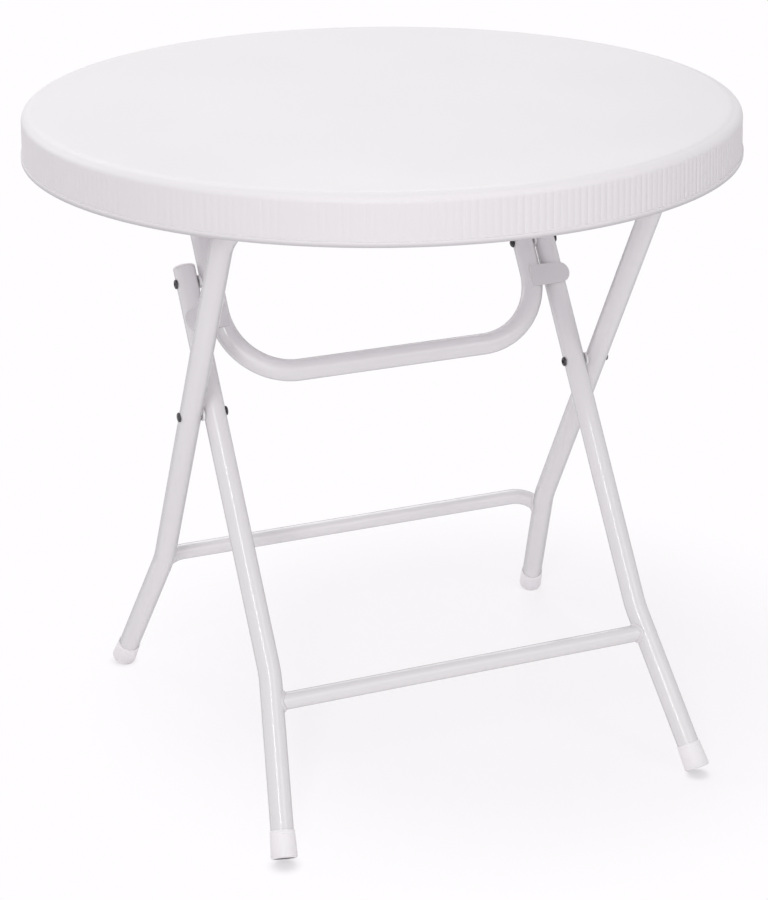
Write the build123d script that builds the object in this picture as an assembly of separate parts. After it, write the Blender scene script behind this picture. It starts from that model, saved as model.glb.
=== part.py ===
from build123d import *
import math
import os

# Round folding garden table, in millimetres. The origin is on the floor below the centre of the top.
# +X runs along the crossbars, +Y to the rear and +Z up. The table stands open.

# Table top: one moulding with a skirt, a lip, ribs and bosses below
top_diameter = 800
table_height = 735
top_thickness = 4
skirt_depth = 52
skirt_wall = 3.2
skirt_draft = 2.5
top_edge_radius = 9
lip_height = 4.5
lip_width = 1.6
lip_edge = 0.9
rib_depth = 19
rib_width = 2.6
radial_rib_count = 12
hub_ring_radius = 62
middle_ring_radius = 196
outer_ring_radius = 318

# Lines of the two leg frames, seen from the side and measured from the centre of the top
front_foot_reach = 335.4
rear_foot_reach = 197.2
crossing_reach = 45.1

# Gap between the ribs and the tubes hinged under them
rib_gap = 9.5

# Heights above the floor, as shares of the table's height
height_shares = {
    "crossing": 0.5563,
    "lock_pivot": 0.7252,
    "handle": 0.5949,
    "front_bend": 0.2266,
    "rear_bend": 0.245,
    "front_bar": 0.1916,
    "rear_bar": 0.2129,
}

# Distances of the tubes from the middle plane, and how far each foot stands outside its leg
lock_arm_spread = 193
tube_gap = 3
front_foot_splay = 27.9
rear_foot_splay = 31.3

# Tubes
tube_diameter = 25
tube_wall = 1.5
bar_diameter = 19
bar_wall = 1.5
splay_bend_radius = 150
frame_corner_radius = 62
handle_corner_radius = 66
rear_bar_offset = 22.5
rear_bar_turn = 50
# The share of each bent end that its bend takes
rear_bar_bend_share = 0.6
front_leg_overhang = 17

# Plastic caps and plugs, and the clearance of what is pushed together
fit_clearance = 0.1
foot_cap_rim_wall = 0.9
foot_cap_flare = 1
foot_cap_length = 29.5
foot_cap_floor = 4
foot_cap_edge = 2.5
plug_head_thickness = 2.6
plug_edge = 1
plug_spigot_length = 6
plug_gap = 1

# Bolts, rivets, spacers and screws
pivot_diameter = 6
pivot_head_diameter = 11
crossing_head_thickness = 2.4
lock_head_thickness = 2.3
lock_nut_thickness = 4
lock_nut_diameter = 11
head_edge = 0.8
spacer_diameter = 15
running_clearance = 0.08
side_gap = 0.3
screw_diameter = 4
screw_head_diameter = 8
screw_head_height = 2.4
screw_length = 13

# Straps that hold the rear frame under the top
strap_place = 112
strap_width = 26
strap_thickness = 2
screw_margin = 4
boss_margin = 3

# Brackets that hold the lock bar under the top
bracket_thickness = 2.5
bracket_length = 30
bracket_foot_width = 33
bracket_screw_distance = 8.5
bracket_rivet_head = 2.1

# Stop plates that bridge the lock bar and the front legs
stop_thickness = 3
stop_height = 25
stop_place = 47
stop_seat_depth = 0.8
stop_inner_lap = 6

# Weld beads
weld_size = 3

# Every cut runs past the piece by this much
overrun = 2

top_radius = top_diameter / 2
underside_height = table_height - top_thickness
rib_foot_height = underside_height - rib_depth
tube_radius = tube_diameter / 2
bar_radius = bar_diameter / 2
pivot_radius = pivot_diameter / 2
tube_pitch = tube_diameter + tube_gap
front_leg_spread = lock_arm_spread + tube_pitch
rear_leg_spread = front_leg_spread + tube_pitch
hinge_height = rib_foot_height - rib_gap - tube_radius
crossing_height = height_shares["crossing"] * table_height
lock_pivot_height = height_shares["lock_pivot"] * table_height
handle_height = height_shares["handle"] * table_height
front_bend_height = height_shares["front_bend"] * table_height
rear_bend_height = height_shares["rear_bend"] * table_height
front_bar_height = height_shares["front_bar"] * table_height
rear_bar_height = height_shares["rear_bar"] * table_height
lock_arm_overhang = pivot_radius + plug_gap + plug_spigot_length
foot_cap_rim_radius = tube_radius + fit_clearance + foot_cap_rim_wall
foot_cap_radius = foot_cap_rim_radius + foot_cap_flare
strap_screw_distance = tube_radius + strap_thickness + screw_margin + screw_head_diameter / 2
strap_flange_end = strap_screw_distance + screw_head_diameter / 2 + screw_margin


class LegLine:
    """A leg frame's line in the side view: through its foot and the crossing pivot."""

    def __init__(self, foot_y):
        rise = crossing_height
        run = -crossing_reach - foot_y
        length = math.hypot(run, rise)
        self.foot_y = foot_y
        self.run_share = run / length
        self.rise_share = rise / length

    def y_at(self, height):
        return self.foot_y + height * self.run_share / self.rise_share

    def plane_at(self, height):
        """Local X across the table, local Y up the leg, local Z out of the leg's front side."""
        normal = (0, -self.rise_share, self.run_share)
        return Plane(origin=(0, self.y_at(height), height), x_dir=(1, 0, 0), z_dir=normal)

    def distance(self, from_height, to_height):
        return (to_height - from_height) / self.rise_share


front_line = LegLine(-front_foot_reach)
rear_line = LegLine(rear_foot_reach)
frame_hinge_y = rear_line.y_at(hinge_height)
lock_hinge_y = front_line.y_at(hinge_height)
lock_pivot_y = front_line.y_at(lock_pivot_height)


class Splay:
    """The lower part of a leg, which leans outward in the frame's plane from its bend down."""

    def __init__(self, line, leg_spread, sideways, bend_height):
        down = line.distance(0, bend_height)
        length = math.hypot(sideways, down)
        self.line = line
        self.leg_spread = leg_spread
        self.bend_height = bend_height
        self.side_share = sideways / length
        self.down_share = down / length
        tilt_cosine = self.down_share * line.rise_share
        tilt_sine = math.sqrt(1 - tilt_cosine ** 2)
        # The cap stands on the lowest point of its rounded edge, whose middle lies this far from its axis
        flare_slope = foot_cap_flare / foot_cap_length
        edge_middle = foot_cap_radius - foot_cap_edge * (flare_slope + math.hypot(1, flare_slope))
        sole_height = edge_middle * tilt_sine + foot_cap_edge * (1 - tilt_cosine)
        self.length = (bend_height - sole_height) / tilt_cosine

    def local_point(self, distance, bend_y):
        """A point on the leg's line below the bend, in the plane whose Y puts the bend at bend_y."""
        return (self.leg_spread + distance * self.side_share, bend_y - distance * self.down_share)

    def sole_plane(self):
        """Local Z points down the leg, out of the sole's middle."""
        plane = self.line.plane_at(self.bend_height)
        middle = plane.from_local_coords(Vector(*self.local_point(self.length, 0), 0))
        start = plane.from_local_coords(Vector(self.leg_spread, 0, 0))
        return Plane(origin=middle, z_dir=middle - start)


front_splay = Splay(front_line, front_leg_spread, front_foot_splay, front_bend_height)
rear_splay = Splay(rear_line, rear_leg_spread, rear_foot_splay, rear_bend_height)


def mirrored(piece):
    return mirror(piece, about=Plane.YZ)


def cross_cylinder(radius, x_from, x_to, y, z):
    """A cylinder along X between two distances from the middle plane, on the right-hand side."""
    plane = Plane(origin=(x_from, y, z), z_dir=(1, 0, 0))
    return extrude(plane * Circle(radius), amount=x_to - x_from)


def bent_line(plane, points, radii):
    """Straight runs joined by tangent arcs, drawn in a local plane."""
    return plane * FilletPolyline(*points, radius=radii)


def swept_rod(path, radius):
    start = Plane(origin=path @ 0, z_dir=path % 0)
    return sweep(start * Circle(radius), path=path)


def swept_tube(path, diameter, wall):
    start = Plane(origin=path @ 0, z_dir=path % 0)
    section = Circle(diameter / 2) - Circle(diameter / 2 - wall)
    return sweep(start * section, path=path)


def top_shell():
    skirt_foot = table_height - skirt_depth
    lip_top = skirt_foot + lip_height
    wall_foot_radius = top_radius - lip_width
    wall_top_radius = wall_foot_radius - skirt_draft
    inner_foot_radius = wall_foot_radius - skirt_wall
    inner_top_radius = wall_top_radius - skirt_wall
    outline = Polyline(
        (0, underside_height),
        (0, table_height),
        (wall_top_radius, table_height),
        (wall_foot_radius, lip_top),
        (top_radius, lip_top),
        (top_radius, skirt_foot),
        (inner_foot_radius, skirt_foot),
        (inner_top_radius, underside_height),
        close=True,
    )
    profile = make_face(outline)
    lip_corners = profile.vertices().sort_by(Axis.X)[-2:]
    profile = fillet(lip_corners, lip_edge)
    top_corner = profile.vertices().sort_by(Axis.Y)[-2:].sort_by(Axis.X)[-1]
    profile = fillet(top_corner, top_edge_radius)
    return revolve(Plane.XZ * profile, axis=Axis.Z)


def ring_rib(radius):
    ring = Circle(radius + rib_width / 2) - Circle(radius - rib_width / 2)
    return extrude(Plane.XY.offset(rib_foot_height) * ring, amount=rib_depth)


def radial_rib(angle):
    inner = hub_ring_radius
    outer = top_radius - lip_width - skirt_draft - skirt_wall / 2
    strip = Pos((inner + outer) / 2, 0) * Rectangle(outer - inner, rib_width)
    return Rot(0, 0, angle) * extrude(Plane.XY.offset(rib_foot_height) * strip, amount=rib_depth)


def block(x_from, x_to, y_from, y_to, z_from, z_to):
    size = (x_to - x_from, y_to - y_from, z_to - z_from)
    centre = ((x_from + x_to) / 2, (y_from + y_to) / 2, (z_from + z_to) / 2)
    return Pos(*centre) * Box(*size)


def strap_boss():
    """The right-hand boss with the half-round seat of the rear frame's top tube."""
    half = strap_width / 2 + boss_margin
    reach = strap_flange_end + boss_margin
    return block(strap_place - half, strap_place + half, frame_hinge_y - reach, frame_hinge_y + reach,
                 hinge_height, underside_height)


def bracket_boss():
    outer = lock_arm_spread - tube_radius - side_gap
    inner = outer - bracket_foot_width
    reach = bracket_length / 2 + boss_margin
    return block(inner - boss_margin, outer, lock_hinge_y - reach, lock_hinge_y + reach,
                 rib_foot_height, underside_height)


def strap_screw_places():
    return [(strap_place, frame_hinge_y - strap_screw_distance),
            (strap_place, frame_hinge_y + strap_screw_distance)]


def bracket_screw_places():
    outer = lock_arm_spread - tube_radius - side_gap
    middle = outer - bracket_thickness - (bracket_foot_width - bracket_thickness) / 2
    return [(middle, lock_hinge_y - bracket_screw_distance), (middle, lock_hinge_y + bracket_screw_distance)]


def screw_hole(place, head_height):
    """The pilot hole above a screw head's seat."""
    plane = Plane(origin=(*place, head_height), z_dir=(0, 0, 1))
    return extrude(plane * Circle(screw_diameter / 2 + fit_clearance), amount=screw_length + fit_clearance)


def table_top():
    body = top_shell()
    for radius in (hub_ring_radius, middle_ring_radius, outer_ring_radius):
        body += ring_rib(radius)
    for number in range(radial_rib_count):
        body += radial_rib((number + 0.5) * 360 / radial_rib_count)
    bosses = strap_boss() + bracket_boss()
    body += bosses + mirrored(bosses)
    cuts = cross_cylinder(tube_radius + running_clearance, strap_place - strap_width,
                          strap_place + strap_width, frame_hinge_y, hinge_height)
    for place in strap_screw_places():
        cuts += screw_hole(place, hinge_height - strap_thickness)
    for place in bracket_screw_places():
        cuts += screw_hole(place, rib_foot_height - bracket_thickness)
    return body - cuts - mirrored(cuts)


def frame_strap():
    """The right-hand strap: a half ring with two flanges, bent from sheet."""
    inner = tube_radius + running_clearance
    outer = inner + strap_thickness
    flange = Pos(0, -strap_thickness / 2) * Rectangle(2 * strap_flange_end, strap_thickness)
    profile = Circle(outer) + flange - Circle(inner)
    profile -= Pos(0, outer) * Rectangle(2 * strap_flange_end + overrun, 2 * outer)
    plane = Plane(origin=(strap_place - strap_width / 2, frame_hinge_y, hinge_height),
                  x_dir=(0, 1, 0), z_dir=(1, 0, 0))
    strap = extrude(plane * profile, amount=strap_width)
    for place in strap_screw_places():
        strap -= screw_hole(place, hinge_height - strap_thickness - overrun)
    return strap


def lock_bracket():
    """The right-hand bracket: a foot screwed to the boss and a rounded cheek inside the lock bar's arm."""
    outer = lock_arm_spread - tube_radius - side_gap
    half = bracket_length / 2
    foot = block(outer - bracket_foot_width, outer, lock_hinge_y - half, lock_hinge_y + half,
                 rib_foot_height - bracket_thickness, rib_foot_height)
    cheek = block(outer - bracket_thickness, outer, lock_hinge_y - half, lock_hinge_y + half,
                  hinge_height, rib_foot_height)
    cheek += cross_cylinder(half, outer - bracket_thickness, outer, lock_hinge_y, hinge_height)
    bracket = foot + cheek
    bracket -= cross_cylinder(pivot_radius, outer - 2 * bracket_thickness, outer + overrun,
                              lock_hinge_y, hinge_height)
    for place in bracket_screw_places():
        bracket -= screw_hole(place, rib_foot_height - bracket_thickness - overrun)
    return bracket


def headed_pin(y, z, head_from, head_to, shank_to, head_diameter):
    """A pin along X. Its head lies between head_from and head_to, and its shank ends at shank_to."""
    head_low, head_high = sorted((head_from, head_to))
    head = cross_cylinder(head_diameter / 2, head_low, head_high, y, z)
    free_face = head.faces().sort_by(Axis.X)[0 if shank_to > head_to else -1]
    head = fillet(free_face.edges(), head_edge)
    low, high = sorted((head_to, shank_to))
    return head + cross_cylinder(pivot_radius, low, high, y, z)


def lock_hinge_rivet():
    """The right-hand rivet through the bracket's cheek and the lock bar's arm, with a low head each side."""
    cheek_inner = lock_arm_spread - tube_radius - side_gap - bracket_thickness
    arm_outer = lock_arm_spread + tube_radius + side_gap
    rivet = headed_pin(lock_hinge_y, hinge_height, cheek_inner - bracket_rivet_head, cheek_inner,
                       arm_outer, pivot_head_diameter)
    tail = cross_cylinder(pivot_head_diameter / 2, arm_outer, arm_outer + bracket_rivet_head,
                          lock_hinge_y, hinge_height)
    tail = fillet(tail.faces().sort_by(Axis.X)[-1].edges(), head_edge)
    return rivet + tail


def pan_screw(place, seat_height):
    """A screw driven up, with its head's seat at seat_height."""
    head_plane = Plane(origin=(*place, seat_height), z_dir=(0, 0, -1))
    head = extrude(head_plane * Circle(screw_head_diameter / 2), amount=screw_head_height)
    head = fillet(head.faces().sort_by(Axis.Z)[0].edges(), head_edge)
    shank_plane = Plane(origin=(*place, seat_height), z_dir=(0, 0, 1))
    return head + extrude(shank_plane * Circle(screw_diameter / 2), amount=screw_length)


def both_sides(pieces):
    return Compound(children=[*pieces, *[mirrored(piece) for piece in pieces]])


def strap_screws():
    return both_sides([pan_screw(place, hinge_height - strap_thickness)
                       for place in strap_screw_places()])


def bracket_screws():
    return both_sides([pan_screw(place, rib_foot_height - bracket_thickness)
                       for place in bracket_screw_places()])


def rear_frame_line():
    """Foot, bend, leg, corner, top tube and the same down the other side."""
    plane = rear_line.plane_at(hinge_height)
    bend_y = rear_line.distance(hinge_height, rear_bend_height)
    foot = rear_splay.local_point(rear_splay.length - foot_cap_floor, bend_y)
    right = [foot, (rear_leg_spread, bend_y), (rear_leg_spread, 0)]
    left = [(-x, y) for x, y in reversed(right)]
    radii = [splay_bend_radius, frame_corner_radius, frame_corner_radius, splay_bend_radius]
    return bent_line(plane, right + left, radii)


def rear_frame_tube():
    tube = swept_tube(rear_frame_line(), tube_diameter, tube_wall)
    hole = cross_cylinder(pivot_radius, front_leg_spread, rear_leg_spread + tube_diameter,
                          -crossing_reach, crossing_height)
    return tube - hole - mirrored(hole)


def spread_at(splay, height):
    """How far a splayed leg's middle line stands from the middle plane."""
    down = splay.line.distance(height, splay.bend_height)
    return splay.leg_spread + down * splay.side_share / splay.down_share


def rear_bar_line():
    """Straight across behind the legs, with both ends bent forward onto them."""
    frame_plane = rear_line.plane_at(rear_bar_height)
    # Local Y points out of the frame's front
    plane = Plane(origin=frame_plane.origin, x_dir=(1, 0, 0), z_dir=-frame_plane.y_dir)
    leg_x = spread_at(rear_splay, rear_bar_height)
    turn = math.radians(rear_bar_turn)
    corner_x = leg_x - rear_bar_offset / math.tan(turn)
    bend_reach = rear_bar_bend_share * rear_bar_offset / math.sin(turn)
    bend_radius = bend_reach / math.tan(turn / 2)
    right = [(leg_x, 0), (corner_x, -rear_bar_offset)]
    left = [(-x, y) for x, y in reversed(right)]
    return bent_line(plane, right + left, [bend_radius, bend_radius])


def front_bar_line():
    plane = front_line.plane_at(front_bar_height)
    half = spread_at(front_splay, front_bar_height)
    return plane * Line((half, 0), (-half, 0))


def largest_solid(shape):
    """What is left of a bar when its offcuts inside the legs fall away."""
    return shape.solids().sort_by(SortBy.VOLUME)[-1]


def crossbar(line, right_leg):
    bar = swept_tube(line, bar_diameter, bar_wall)
    return largest_solid(bar - right_leg - mirrored(right_leg))


def weld_beads(bar_line, leg_line):
    """A ring round each end of a crossbar, along the saddle where it meets the leg."""
    ring = swept_rod(bar_line, bar_radius + weld_size) & swept_rod(leg_line, tube_radius + weld_size)
    ring = ring - swept_rod(leg_line, tube_radius) - swept_rod(bar_line, bar_radius)
    return both_sides([ring.solids().sort_by(Axis.X)[-1]])


def foot_cap(splay):
    """The right-hand cap: a flared cup over the tube's end, cut square, standing on its rounded edge."""
    plane = splay.sole_plane()
    bore = tube_radius + fit_clearance
    outline = Polyline(
        (0, 0),
        (foot_cap_radius, 0),
        (foot_cap_rim_radius, foot_cap_length),
        (bore, foot_cap_length),
        (bore, foot_cap_floor),
        (0, foot_cap_floor),
        close=True,
    )
    profile = make_face(outline)
    sole_corner = profile.vertices().sort_by(Axis.X)[-1]
    profile = fillet(sole_corner, foot_cap_edge)
    inward = Plane(origin=plane.origin, z_dir=-plane.z_dir)
    return inward * revolve(Plane.XZ * profile, axis=Axis.Z)


def tube_plug(plane):
    """A plug with a low head and a spigot. The plane's Z points out of the tube's end."""
    head = extrude(plane * Circle(tube_radius), amount=plug_head_thickness)
    rims = head.edges().filter_by(GeomType.CIRCLE)
    outer_rim = rims.sort_by(lambda edge: plane.to_local_coords(edge.center()).Z)[-1]
    head = fillet(outer_rim, plug_edge)
    inner = tube_radius - tube_wall - fit_clearance
    return head + extrude(plane * Circle(inner), amount=-plug_spigot_length)


def front_leg_line():
    """The right-hand front leg: free top end, straight, bend and splayed foot."""
    plane = front_line.plane_at(lock_pivot_height)
    bend_y = front_line.distance(lock_pivot_height, front_bend_height)
    foot = front_splay.local_point(front_splay.length - foot_cap_floor, bend_y)
    points = [(front_leg_spread, front_leg_overhang), (front_leg_spread, bend_y), foot]
    return bent_line(plane, points, [splay_bend_radius])


def front_leg():
    leg = swept_tube(front_leg_line(), tube_diameter, tube_wall)
    leg -= cross_cylinder(pivot_radius + running_clearance, lock_arm_spread, rear_leg_spread,
                          -crossing_reach, crossing_height)
    return leg - cross_cylinder(pivot_radius, lock_arm_spread, rear_leg_spread,
                                lock_pivot_y, lock_pivot_height)


def front_leg_plug():
    plane = front_line.plane_at(lock_pivot_height)
    origin = plane.from_local_coords(Vector(front_leg_spread, front_leg_overhang, 0))
    return tube_plug(Plane(origin=origin, z_dir=plane.y_dir))


def crossing_bolt():
    """The right-hand bolt of the crossing: low head inside the front leg, low head outside the rear leg."""
    head_seat = front_leg_spread - tube_radius
    far_seat = rear_leg_spread + tube_radius
    bolt = headed_pin(-crossing_reach, crossing_height, head_seat - crossing_head_thickness,
                      head_seat - running_clearance, far_seat, pivot_head_diameter)
    tail = cross_cylinder(pivot_head_diameter / 2, far_seat, far_seat + crossing_head_thickness,
                          -crossing_reach, crossing_height)
    return bolt + fillet(tail.faces().sort_by(Axis.X)[-1].edges(), head_edge)


def washer(x_from, x_to, y, z):
    ring = cross_cylinder(spacer_diameter / 2, x_from, x_to, y, z)
    return ring - cross_cylinder(pivot_radius + running_clearance, x_from - overrun, x_to + overrun, y, z)


def crossing_spacer():
    """Between the front and the rear leg, against the rear one."""
    return washer(front_leg_spread + tube_radius + side_gap, rear_leg_spread - tube_radius,
                  -crossing_reach, crossing_height)


def lock_pivot_bolt():
    """Head outside the front leg; its shank ends in the gap beside the lock bar."""
    seat = front_leg_spread + tube_radius
    return headed_pin(lock_pivot_y, lock_pivot_height, seat + lock_head_thickness, seat,
                      front_leg_spread - tube_radius - side_gap, pivot_head_diameter)


def lock_pivot_nut():
    """Cap nut inside the lock bar's arm; its stud ends in the gap beside the front leg."""
    seat = lock_arm_spread - tube_radius
    return headed_pin(lock_pivot_y, lock_pivot_height, seat - lock_nut_thickness, seat,
                      lock_arm_spread + tube_radius + tube_gap / 2, lock_nut_diameter)


def lock_pivot_spacer():
    """Between the lock bar's arm and the front leg, against the arm."""
    seat = lock_arm_spread + tube_radius
    return washer(seat, seat + tube_gap - side_gap, lock_pivot_y, lock_pivot_height)


def lock_bar_line():
    """Two arms hinged under the top, joined by a straight handle."""
    plane = front_line.plane_at(lock_pivot_height)
    top_y = front_line.distance(lock_pivot_height, hinge_height) + lock_arm_overhang
    handle_y = front_line.distance(lock_pivot_height, handle_height)
    points = [(lock_arm_spread, top_y), (lock_arm_spread, handle_y),
              (-lock_arm_spread, handle_y), (-lock_arm_spread, top_y)]
    return bent_line(plane, points, [handle_corner_radius, handle_corner_radius])


def lock_bar():
    tube = swept_tube(lock_bar_line(), tube_diameter, tube_wall)
    holes = cross_cylinder(pivot_radius + running_clearance, lock_arm_spread - tube_diameter,
                           lock_arm_spread + tube_diameter, lock_hinge_y, hinge_height)
    holes += cross_cylinder(pivot_radius, lock_arm_spread - tube_diameter, lock_arm_spread + tube_diameter,
                            lock_pivot_y, lock_pivot_height)
    return tube - holes - mirrored(holes)


def lock_arm_plug():
    plane = front_line.plane_at(lock_pivot_height)
    top_y = front_line.distance(lock_pivot_height, hinge_height) + lock_arm_overhang
    origin = plane.from_local_coords(Vector(lock_arm_spread, top_y, 0))
    return tube_plug(Plane(origin=origin, z_dir=plane.y_dir))


def lock_stop():
    """The right-hand stop: a plate across the front of arm and leg, seated on the arm, its far end round."""
    inner_x = lock_arm_spread - stop_inner_lap
    # The far end stays clear of the rear leg, which comes beside it when the table is folded
    outer_x = rear_leg_spread - tube_radius - 2 * side_gap
    round_end = stop_height / 2
    back = tube_radius - stop_seat_depth
    frame = front_line.plane_at(lock_pivot_height)
    origin = frame.from_local_coords(Vector(0, -stop_place, back))
    face = Plane(origin=origin, x_dir=(1, 0, 0), z_dir=frame.z_dir)
    straight = outer_x - round_end - inner_x
    outline = Pos(inner_x + straight / 2, 0) * Rectangle(straight, stop_height)
    outline += Pos(outer_x - round_end, 0) * Circle(round_end)
    plate = extrude(face * outline, amount=stop_thickness)
    plate -= swept_rod(lock_bar_line(), tube_radius)
    return largest_solid(plate - swept_rod(front_leg_line(), tube_radius + side_gap))


def write(name, piece):
    export_step(piece, f"parts/{name}.step")


os.makedirs("parts", exist_ok=True)

rear_leg_rod = swept_rod(rear_frame_line(), tube_radius)
front_leg_rod = swept_rod(front_leg_line(), tube_radius)

write("table_top", table_top())
write("strap_screws", strap_screws())
write("bracket_screws", bracket_screws())
write("rear_frame_tube", rear_frame_tube())
write("rear_crossbar", crossbar(rear_bar_line(), rear_leg_rod))
write("rear_weld_beads", weld_beads(rear_bar_line(), rear_frame_line()))
write("front_crossbar", crossbar(front_bar_line(), front_leg_rod))
write("front_weld_beads", weld_beads(front_bar_line(), front_leg_line()))
write("lock_bar", lock_bar())

paired_pieces = {
    "frame_strap": frame_strap(),
    "lock_bracket": lock_bracket(),
    "lock_hinge_rivet": lock_hinge_rivet(),
    "rear_foot": foot_cap(rear_splay),
    "crossing_bolt": crossing_bolt(),
    "crossing_spacer": crossing_spacer(),
    "front_leg": front_leg(),
    "front_leg_plug": front_leg_plug(),
    "front_foot": foot_cap(front_splay),
    "lock_pivot_bolt": lock_pivot_bolt(),
    "lock_pivot_nut": lock_pivot_nut(),
    "lock_pivot_spacer": lock_pivot_spacer(),
    "lock_arm_plug": lock_arm_plug(),
    "lock_stop": lock_stop(),
}
for name, piece in paired_pieces.items():
    write(f"{name}_right", piece)
    write(f"{name}_left", mirrored(piece))
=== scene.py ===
import math
import bmesh
import bpy
import numpy as np
from mathutils import Matrix, Vector


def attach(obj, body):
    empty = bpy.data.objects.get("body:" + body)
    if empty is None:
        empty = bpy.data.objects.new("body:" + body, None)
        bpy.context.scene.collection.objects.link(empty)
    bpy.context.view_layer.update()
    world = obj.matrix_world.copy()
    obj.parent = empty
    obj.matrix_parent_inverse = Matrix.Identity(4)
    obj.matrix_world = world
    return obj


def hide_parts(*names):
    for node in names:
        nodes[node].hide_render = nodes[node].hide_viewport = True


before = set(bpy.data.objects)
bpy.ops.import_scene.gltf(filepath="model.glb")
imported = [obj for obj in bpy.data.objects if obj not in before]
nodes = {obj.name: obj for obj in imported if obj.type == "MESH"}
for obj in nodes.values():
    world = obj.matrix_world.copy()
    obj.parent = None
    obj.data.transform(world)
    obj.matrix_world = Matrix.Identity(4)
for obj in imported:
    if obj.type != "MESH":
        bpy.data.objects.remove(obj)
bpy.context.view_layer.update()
print("frame loaded:", len(nodes), "nodes")

# Lengths in this script are millimetres. A mesh is written in metres.
mm = 0.001

# The leg frames' lines in the side view, and their tubes' distances from the middle plane
linkage = dict(
    frontFoot=-335.4, rearFoot=197.2, crossingY=-45.1, crossingHeight=408.8805, hingeHeight=690.0,
    lockPivotHeight=533.022, handleHeight=437.2515, armSpread=193.0, frontSpread=221.0, rearSpread=249.0,
    frontBend=166.551, rearBend=180.075, frontSplay=27.9, rearSplay=31.3, frontBar=140.826, rearBar=156.4815,
    tubeRadius=12.5, tubeBore=11.0, barRadius=9.5,
    capRadius=14.5, capRim=13.5, capLength=29.5, capFloor=4.0, capEdge=2.5,
)


# Shapes as arrays

def gridQuads(rows, columns, start=0):
    # Each face joins column j to j + 1 and row i to i + 1; the last column joins the first
    i, j = np.meshgrid(np.arange(rows - 1), np.arange(columns), indexing="ij")
    k = (j + 1) % columns
    quads = np.stack([i * columns + j, i * columns + k, (i + 1) * columns + k, (i + 1) * columns + j], -1)
    return quads.reshape(-1, 4) + start


def closedTube(rings):
    # Rings of points, one per row, with a flat cap on the first and the last
    rows, columns, _ = rings.shape
    ends = np.stack([np.arange(columns), (rows - 1) * columns + np.arange(columns)])
    return rings.reshape(-1, 3), [gridQuads(rows, columns), ends]


def zipRings(angleA, startA, angleB, startB):
    # Two rings of different counts joined by triangles: all points in order of their angle, each making
    # a triangle with the one before it on its own ring and the last one passed on the other
    sortedA, sortedB = (np.argsort(angles % (2 * math.pi)) for angles in (angleA, angleB))
    angles = np.concatenate([angleA[sortedA], angleB[sortedB]]) % (2 * math.pi)
    isA = (np.arange(len(angles)) < len(angleA))
    isA = isA[np.argsort(angles, kind="stable")]
    lastA, lastB = np.cumsum(isA) - 1, np.cumsum(~isA) - 1
    pointA, pointB = startA + sortedA[lastA], startB + sortedB[lastB]
    ofA = np.stack([startA + sortedA[lastA - 1], pointA, pointB], -1)[isA]
    ofB = np.stack([pointB, startB + sortedB[lastB - 1], pointA], -1)[~isA]
    return np.concatenate([ofA, ofB])


def joinShells(shells):
    points, groups, start = [], [], 0
    for shellPoints, shellGroups in shells:
        points.append(shellPoints)
        groups += [group + start for group in shellGroups]
        start += len(shellPoints)
    return np.concatenate(points), groups


def axisFrame(direction):
    # Two directions square to an axis, and the axis
    axis = np.array(direction, float)
    axis = axis / np.linalg.norm(axis)
    side = np.cross(axis, [0, 1, 0] if abs(axis[1]) < 0.9 else [1, 0, 0])
    side = side / np.linalg.norm(side)
    return side, np.cross(axis, side), axis


def lathe(origin, direction, profile, columns=64, shape=None):
    # A profile of (radius, distance along the axis) turned about the axis; shape scales the radius by angle
    side, other, axis = axisFrame(direction)
    angle = np.arange(columns) * 2 * math.pi / columns
    profile = np.array(profile, float)
    radius = profile[:, :1] * (np.ones(columns) if shape is None else shape(angle, profile))
    outward = np.cos(angle)[:, None] * side + np.sin(angle)[:, None] * other
    rings = np.array(origin, float) + radius[..., None] * outward + profile[:, 1][:, None, None] * axis
    return closedTube(rings)


def arc(centre, radius, fromDegrees, toDegrees, count):
    # Points on a circle in the plane of the profile
    angle = np.radians(np.linspace(fromDegrees, toDegrees, count))
    return np.stack([centre[0] + radius * np.cos(angle), centre[1] + radius * np.sin(angle)], -1)


def filletPath(points, radii, turnStep=2.5, leastTurn=1e-6):
    # Straight runs with a tangent arc at each corner: places along the line, and its direction at each
    points = [np.array(point, float) for point in points]
    places, directions = [points[0]], [(points[1] - points[0]) / np.linalg.norm(points[1] - points[0])]
    for before, corner, after, radius in zip(points, points[1:], points[2:], radii):
        coming = (corner - before) / np.linalg.norm(corner - before)
        going = (after - corner) / np.linalg.norm(after - corner)
        turn = math.acos(np.clip(coming @ going, -1, 1))
        if turn < leastTurn:
            places.append(corner)
            directions.append(going)
            continue
        aside = going - coming * (coming @ going)
        aside = aside / np.linalg.norm(aside)
        start = corner - coming * radius * math.tan(turn / 2)
        for a in np.linspace(0, turn, max(4, int(math.degrees(turn) / turnStep) + 2)):
            places.append(start + radius * (math.sin(a) * coming + (1 - math.cos(a)) * aside))
            directions.append(math.cos(a) * coming + math.sin(a) * aside)
    places.append(points[-1])
    directions.append((points[-1] - points[-2]) / np.linalg.norm(points[-1] - points[-2]))
    return np.array(places), np.array(directions)


def ringsAlong(path, normal, radius, columns=48):
    # One ring of points square to the path at each of its places; the path lies in the plane of that normal
    places, directions = path
    normal = np.array(normal, float) / np.linalg.norm(normal)
    side = np.cross(directions, normal)
    side = side / np.linalg.norm(side, axis=1)[:, None]
    turn = np.arange(columns) * 2 * math.pi / columns
    return places[:, None] + radius * (np.cos(turn)[:, None] * side[:, None] + np.sin(turn)[:, None] * normal)


def seamQuads(rows, columns):
    # The last row joined to the first
    j = np.arange(columns)
    k = (j + 1) % columns
    last = (rows - 1) * columns
    return np.stack([last + j, last + k, k, j], -1)


def closedRing(rings):
    # Rings of points whose last row is joined to the first, so that no end needs a cap
    rows, columns, _ = rings.shape
    return rings.reshape(-1, 3), [np.concatenate([gridQuads(rows, columns), seamQuads(rows, columns)])]


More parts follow.
